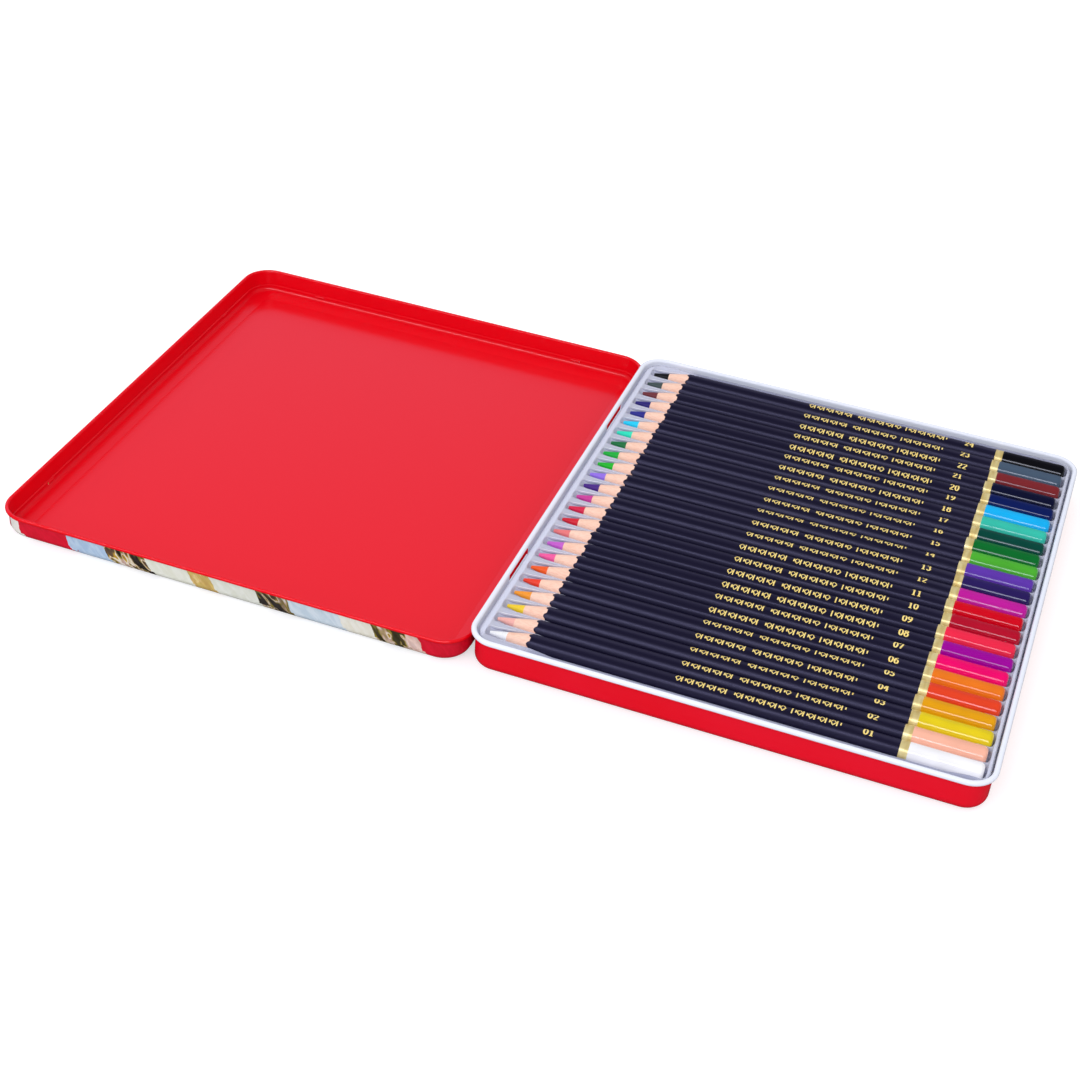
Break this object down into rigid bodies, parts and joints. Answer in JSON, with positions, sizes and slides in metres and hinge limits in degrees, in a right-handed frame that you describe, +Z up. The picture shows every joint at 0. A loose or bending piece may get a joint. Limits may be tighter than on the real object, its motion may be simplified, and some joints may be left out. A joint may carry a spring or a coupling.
{
  "type": "colored pencil tin",
  "caption": "Flat hinged tin box of hexagonal colouring pencils lying side by side in a clear formed tray, with the lid folded right back.",
  "frame": {"origin": "centre of the flat underside of the base tin", "axes": "+X along the pencils from their points to their dipped ends, +Y across the row from pencil 01 to pencil 24, +Z up; the hinge runs along Y on the -X side"},
  "size_m": [0.3757, 0.213, 0.0154],
  "materials": {
    "base_enamel": "gloss",
    "lid_enamel": "gloss",
    "pin_wire": "drawn",
    "clear_film": "clear gloss",
    "pencil_lacquer": "satin lacquer over sharpened wood",
    "core_01": "matt white pigment core",
    "core_02": "matt peach pigment core",
    "core_03": "matt yellow pigment core",
    "core_04": "matt amber pigment core",
    "core_05": "matt red-orange pigment core",
    "core_06": "matt orange pigment core",
    "core_07": "matt hot pink pigment core",
    "core_08": "matt orchid pigment core",
    "core_09": "matt salmon pigment core",
    "core_10": "matt red pigment core",
    "core_11": "matt crimson pigment core",
    "core_12": "matt magenta pink pigment core",
    "core_13": "matt dark violet pigment core",
    "core_14": "matt lavender pigment core",
    "core_15": "matt bright green pigment core",
    "core_16": "matt green pigment core",
    "core_17": "matt dark green pigment core",
    "core_18": "matt mint pigment core",
    "core_19": "matt cyan pigment core",
    "core_20": "matt blue pigment core",
    "core_21": "matt blue violet pigment core",
    "core_22": "matt russet pigment core",
    "core_23": "matt grey green pigment core",
    "core_24": "matt black pigment core"
  },
  "bodies": {
    "base": {"base_tin": "base_enamel", "hinge_pins": "pin_wire"},
    "lid": {"lid_tin": "lid_enamel"},
    "tray": {"pencil_tray": "clear_film"},
    "pencil_body_01": {"pencil_01": "pencil_lacquer", "core_01": "core_01"},
    "pencil_body_02": {"pencil_02": "pencil_lacquer", "core_02": "core_02"},
    "pencil_body_03": {"pencil_03": "pencil_lacquer", "core_03": "core_03"},
    "pencil_body_04": {"pencil_04": "pencil_lacquer", "core_04": "core_04"},
    "pencil_body_05": {"pencil_05": "pencil_lacquer", "core_05": "core_05"},
    "pencil_body_06": {"pencil_06": "pencil_lacquer", "core_06": "core_06"},
    "pencil_body_07": {"pencil_07": "pencil_lacquer", "core_07": "core_07"},
    "pencil_body_08": {"pencil_08": "pencil_lacquer", "core_08": "core_08"},
    "pencil_body_09": {"pencil_09": "pencil_lacquer", "core_09": "core_09"},
    "pencil_body_10": {"pencil_10": "pencil_lacquer", "core_10": "core_10"},
    "pencil_body_11": {"pencil_11": "pencil_lacquer", "core_11": "core_11"},
    "pencil_body_12": {"pencil_12": "pencil_lacquer", "core_12": "core_12"},
    "pencil_body_13": {"pencil_13": "pencil_lacquer", "core_13": "core_13"},
    "pencil_body_14": {"pencil_14": "pencil_lacquer", "core_14": "core_14"},
    "pencil_body_15": {"pencil_15": "pencil_lacquer", "core_15": "core_15"},
    "pencil_body_16": {"pencil_16": "pencil_lacquer", "core_16": "core_16"},
    "pencil_body_17": {"pencil_17": "pencil_lacquer", "core_17": "core_17"},
    "pencil_body_18": {"pencil_18": "pencil_lacquer", "core_18": "core_18"},
    "pencil_body_19": {"pencil_19": "pencil_lacquer", "core_19": "core_19"},
    "pencil_body_20": {"pencil_20": "pencil_lacquer", "core_20": "core_20"},
    "pencil_body_21": {"pencil_21": "pencil_lacquer", "core_21": "core_21"},
    "pencil_body_22": {"pencil_22": "pencil_lacquer", "core_22": "core_22"},
    "pencil_body_23": {"pencil_23": "pencil_lacquer", "core_23": "core_23"},
    "pencil_body_24": {"pencil_24": "pencil_lacquer", "core_24": "core_24"}
  },
  "joints": [
    {"name": "lid_hinge", "type": "hinge", "parent": "base", "child": "lid", "pos_m": [-0.0937, 0, 0.0095], "axis": [0, -1, 0], "range_deg": [-180, 0]},
    {"name": "tray_lift", "type": "slide", "parent": "base", "child": "tray", "axis": [0, 0, 1], "range_m": [0, 0.03]},
    {"name": "pencil_01_lift", "type": "slide", "parent": "tray", "child": "pencil_body_01", "axis": [0, 0, 1], "range_m": [0, 0.02]},
    {"name": "pencil_02_lift", "type": "slide", "parent": "tray", "child": "pencil_body_02", "axis": [0, 0, 1], "range_m": [0, 0.02]},
    {"name": "pencil_03_lift", "type": "slide", "parent": "tray", "child": "pencil_body_03", "axis": [0, 0, 1], "range_m": [0, 0.02]},
    {"name": "pencil_04_lift", "type": "slide", "parent": "tray", "child": "pencil_body_04", "axis": [0, 0, 1], "range_m": [0, 0.02]},
    {"name": "pencil_05_lift", "type": "slide", "parent": "tray", "child": "pencil_body_05", "axis": [0, 0, 1], "range_m": [0, 0.02]},
    {"name": "pencil_06_lift", "type": "slide", "parent": "tray", "child": "pencil_body_06", "axis": [0, 0, 1], "range_m": [0, 0.02]},
    {"name": "pencil_07_lift", "type": "slide", "parent": "tray", "child": "pencil_body_07", "axis": [0, 0, 1], "range_m": [0, 0.02]},
    {"name": "pencil_08_lift", "type": "slide", "parent": "tray", "child": "pencil_body_08", "axis": [0, 0, 1], "range_m": [0, 0.02]},
    {"name": "pencil_09_lift", "type": "slide", "parent": "tray", "child": "pencil_body_09", "axis": [0, 0, 1], "range_m": [0, 0.02]},
    {"name": "pencil_10_lift", "type": "slide", "parent": "tray", "child": "pencil_body_10", "axis": [0, 0, 1], "range_m": [0, 0.02]},
    {"name": "pencil_11_lift", "type": "slide", "parent": "tray", "child": "pencil_body_11", "axis": [0, 0, 1], "range_m": [0, 0.02]},
    {"name": "pencil_12_lift", "type": "slide", "parent": "tray", "child": "pencil_body_12", "axis": [0, 0, 1], "range_m": [0, 0.02]},
    {"name": "pencil_13_lift", "type": "slide", "parent": "tray", "child": "pencil_body_13", "axis": [0, 0, 1], "range_m": [0, 0.02]},
    {"name": "pencil_14_lift", "type": "slide", "parent": "tray", "child": "pencil_body_14", "axis": [0, 0, 1], "range_m": [0, 0.02]},
    {"name": "pencil_15_lift", "type": "slide", "parent": "tray", "child": "pencil_body_15", "axis": [0, 0, 1], "range_m": [0, 0.02]},
    {"name": "pencil_16_lift", "type": "slide", "parent": "tray", "child": "pencil_body_16", "axis": [0, 0, 1], "range_m": [0, 0.02]},
    {"name": "pencil_17_lift", "type": "slide", "parent": "tray", "child": "pencil_body_17", "axis": [0, 0, 1], "range_m": [0, 0.02]},
    {"name": "pencil_18_lift", "type": "slide", "parent": "tray", "child": "pencil_body_18", "axis": [0, 0, 1], "range_m": [0, 0.02]},
    {"name": "pencil_19_lift", "type": "slide", "parent": "tray", "child": "pencil_body_19", "axis": [0, 0, 1], "range_m": [0, 0.02]},
    {"name": "pencil_20_lift", "type": "slide", "parent": "tray", "child": "pencil_body_20", "axis": [0, 0, 1], "range_m": [0, 0.02]},
    {"name": "pencil_21_lift", "type": "slide", "parent": "tray", "child": "pencil_body_21", "axis": [0, 0, 1], "range_m": [0, 0.02]},
    {"name": "pencil_22_lift", "type": "slide", "parent": "tray", "child": "pencil_body_22", "axis": [0, 0, 1], "range_m": [0, 0.02]},
    {"name": "pencil_23_lift", "type": "slide", "parent": "tray", "child": "pencil_body_23", "axis": [0, 0, 1], "range_m": [0, 0.02]},
    {"name": "pencil_24_lift", "type": "slide", "parent": "tray", "child": "pencil_body_24", "axis": [0, 0, 1], "range_m": [0, 0.02]}
  ]
}
